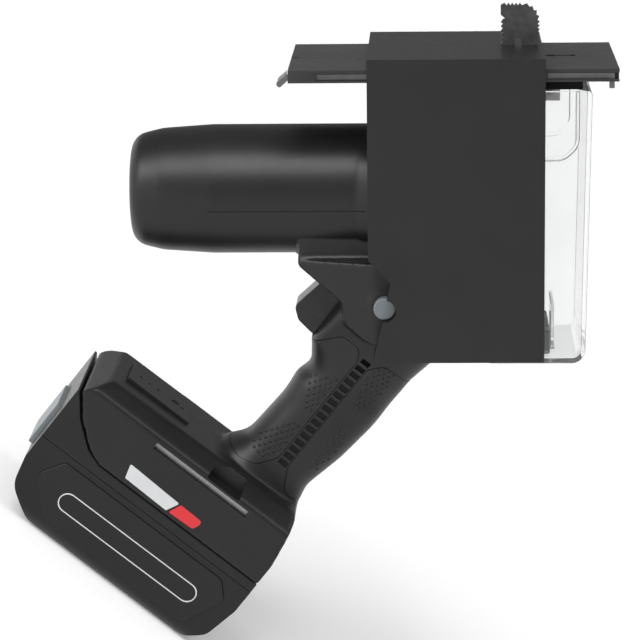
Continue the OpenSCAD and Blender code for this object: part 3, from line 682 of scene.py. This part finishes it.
def dots(mesh, fields, pitch=2.7):
    tree = BVHTree.FromPolygons([v.co for v in mesh.vertices], [tuple(p.vertices) for p in mesh.polygons])
    domes = []
    for field in fields:
        for row in range(int(60 / pitch) + 40):
            height = 80 + row * pitch * 0.87
            for column in range(30):
                x = 16 + (column + 0.5 * (row % 2)) * pitch
                if not inside((x, height), field):
                    continue
                for side in (-1, 1):
                    at, normal, _, _ = tree.ray_cast(Vector((x, side * 40, height)) * MM, Vector((0, -side, 0)))
                    if at:
                        domes.append(dome(at, normal, 0.85, 0.6))
    return domes


for node, mesh in pads.items():
    domes = dots(mesh, dot_fields[node])
    pads[node] = joined(mesh, *domes)
    piece = add_piece(node + "_rubber", pads[node], "tool", "rubber_grip", node)
    for face in piece.data.polygons:
        face.use_smooth = True
    piece.data.set_sharp_from_angle(angle=math.radians(50))
    print(node, "dots:", len(domes))

# %% [markdown]
# Everything that is cut from the housing is cut after melting, so that it stays crisp:
# the seat of the gear housing, the pockets, the rail channel for the pack, the trigger
# window, the hook slots and the ladder of little windows between the pads.

# %% Cut the housing
def mirrored_boxes(low, high):
    flipped = ((low[0], -high[1], low[2]), (high[0], -low[1], high[2]))
    return [box_mesh(low, high), box_mesh(*flipped)]


ladder = [92.5 + 4.1 * i for i in range(16)]
seat = [(-68.6, 5, 0), (-68.6, -85, 0), (-58.7, -95.5, 0), (-62.5, -114.7, 10),
        (-66.6, -132.1, 0), (10, -132.1, 0), (10, 5, 0)]
channel = across([(-22.5, 40), (22.5, 40), (22.5, 49), (27, 49), (27, 55.2), (-27, 55.2), (-27, 49),
                  (-22.5, 49)], -70, 57.5)
side_pocket = rounded([(10.6, 70, 1), (10.7, 74.5, 2), (20.8, 80, 2.5), (26.9, 78.6, 2), (29.2, 70, 1)], 4)
cutters = [slab(rounded(seat), -45, 45, HEAD), channel, trigger_window,
           disc(-61.5, -108.7, -45, 45, 5.35), box_mesh((18, -16.2, 55.19), (46.2, 16.2, 59)),
           box_mesh((-44.2, -14.2, 76.3), (-8.8, 14.2, 84))]
cutters += [slab(side_pocket, near, far) for near, far in ((-50, -27), (27, 50))]
cutters += mirrored_boxes((-17, 31, 65.7), (36, 50, 68.9))
cutters += [slab([(-141, -65.5), (-70, -65.5), (-70, -65.9), (-141, -65.9)], near, far, HEAD)
            for near, far in ((-40, -28.6), (28.6, 40))]
for height in ladder:
    cutters += mirrored_boxes((34, 17, height - 1.3), (38.6, 25, height + 1.3))
hollow = melted(joined(turned(barrel_profile, 2.8), lofted_grip(2.8)), 2.0, 2)
for cutter in pockets + [hollow, joined(*cutters[:1]), joined(*cutters[1:3]), joined(*cutters[3:])]:
    housing = combined(housing, cutter, "DIFFERENCE")
print("cut housing:", len(housing.polygons), "faces")

# %% [markdown]
# The housing is moulded as two shells that meet in the middle. The melted skin is cut
# there, a hair apart on each side, so that the join shows as the fine line it is.

# %% Two shells
def half_of(mesh, side):
    form = bmesh.new()
    form.from_mesh(mesh)
    cut = bmesh.ops.bisect_plane(form, geom=form.verts[:] + form.edges[:] + form.faces[:], dist=1e-7,
                                 plane_co=(0, side * 0.07 * MM, 0), plane_no=(0, -side, 0), clear_outer=True)
    rim = [e for e in cut["geom_cut"] if isinstance(e, bmesh.types.BMEdge)]
    bmesh.ops.triangle_fill(form, edges=rim, use_beauty=True)
    result = bpy.data.meshes.new("half")
    form.to_mesh(result)
    form.free()
    outward_normals(result)
    return result


for node, side in (("housing_left", -1), ("housing_right", 1)):
    piece = add_piece(node + "_shell", half_of(housing, side), "tool", "housing_black", node)
    for face in piece.data.polygons:
        face.use_smooth = True
    piece.data.set_sharp_from_angle(angle=math.radians(34))
    print(piece.name, "faces:", len(piece.data.polygons))

# %% [markdown]
# The ladder between the pads is a row of little windows filled with darker rubber. The
# fillings sit a little below the surface, so each window has a shaded edge.

# %% Ladder fillings
fillings = [m for height in ladder for m in mirrored_boxes((34.1, 17.02, height - 1.2), (38.5, 17.5, height + 1.2))]
add_piece("grip_ladder", joined(*fillings), "tool", "rubber_dark", "grip_insets")
print("ladder fillings:", len(fillings))

# %% [markdown]
# Along the edge where the dust case meets the head, a thin grey sheet sits just inside the
# case wall: painted shade, standing in for the grey tint that refraction gives the clear edge.
# It follows the case's slanted shoulder and then runs straight down, and the clear case in front of it gives it its
# gloss.

# %% Painted shade along the case's edge
edge_shade_outline = rounded([(-32.6, -11.6, 0), (-19, -11.6, 0), (-19, -21.5, 1), (-7, -34, 1.5), (-7, -122.6, 0),
                  (-13.9, -122.6, 0), (-13.9, -37.7, 0), (-32.6, -16.8, 0)])
edge_shade_sheets = joined(slab(edge_shade_outline, -32.9, -31.9, HEAD), slab(edge_shade_outline, 31.9, 32.9, HEAD))
# the grey sheet is painted shade along the clear case's edge, not a tinted part
soften(add_piece("case_edge_shade", edge_shade_sheets, "dust_box", "edge_shade_grey" if False else "clear_case"), 0.25)
bpy.data.objects["case_edge_shade"].data.materials[0] = finishes["edge_shade_grey"]

# %% [markdown]
# The badges are plain printed shapes without words: a pale tag with a red one beside it
# on the foot, a pill outline on the cover, and a long pill outline on the pack. Each is
# a film a tenth of a millimetre thick that lies on its panel.

# %% Printed badges
def pill(middle, length, height, line, near, far, where=UPRIGHT, turn=0.0):
    half, r = length / 2, height / 2
    corners = [(-half, -r, r * 0.98), (half, -r, r * 0.98), (half, r, r * 0.98), (-half, r, r * 0.98)]
    rot = Matrix.Rotation(math.radians(turn), 2)
    outer = rounded(corners, 10)
    inner = [Vector((p.x * (half - line) / half, p.y * (r - line) / r)) for p in outer]
    rings = []
    for y, ring in ((near, outer), (far, outer), (far, inner), (near, inner)):
        rings.append([where @ (Vector((middle[0] + (rot @ p).x, y, middle[1] + (rot @ p).y)) * MM) for p in ring])
    count = len(outer)
    faces = [(k * count + i, k * count + (i + 1) % count, ((k + 1) % 4) * count + (i + 1) % count,
              ((k + 1) % 4) * count + i) for k in range(4) for i in range(count)]
    mesh = bpy.data.meshes.new("pill")
    mesh.from_pydata([p for ring in rings for p in ring], [], faces)
    outward_normals(mesh)
    return mesh


def print_piece(name, mesh, body, slot, ink):
    piece = add_piece(name, mesh, body, slot)
    mesh.materials[0] = finishes[ink]
    return piece


foot_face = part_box("housing_left")[0].y / MM
panel_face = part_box("label_panel")[0].y / MM
cover_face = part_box("side_covers")[0].y / MM
print_piece("pack_pill", pill((2.5, 20.8), 78, 9.4, 0.5, panel_face - 0.1, panel_face), "battery",
            "label_black", "pale_print")
print_piece("cover_pill", pill((-37.8, -61), 18, 4.6, 0.5, cover_face - 0.1, cover_face, HEAD, 90), "tool",
            "cover_black", "pale_print")
pale_tag = rounded([(-20.5, 53.4, 0.6), (8.5, 52.2, 0.6), (5.5, 45.9, 0.6), (-18.5, 46.5, 0.6)], 3)
red_tag = rounded([(9.5, 52.2, 0.6), (22.5, 51.8, 1.5), (20.5, 46.4, 1.5), (6.8, 46.0, 0.6)], 3)
print_piece("pale_tag", slab(pale_tag, foot_face - 0.1, foot_face + 0.05), "tool", "housing_black", "pale_print")
print_piece("red_tag", slab(red_tag, foot_face - 0.1, foot_face + 0.05), "tool", "housing_black", "red_print")
print("badge planes at y", round(foot_face, 1), round(panel_face, 1), round(cover_face, 1))
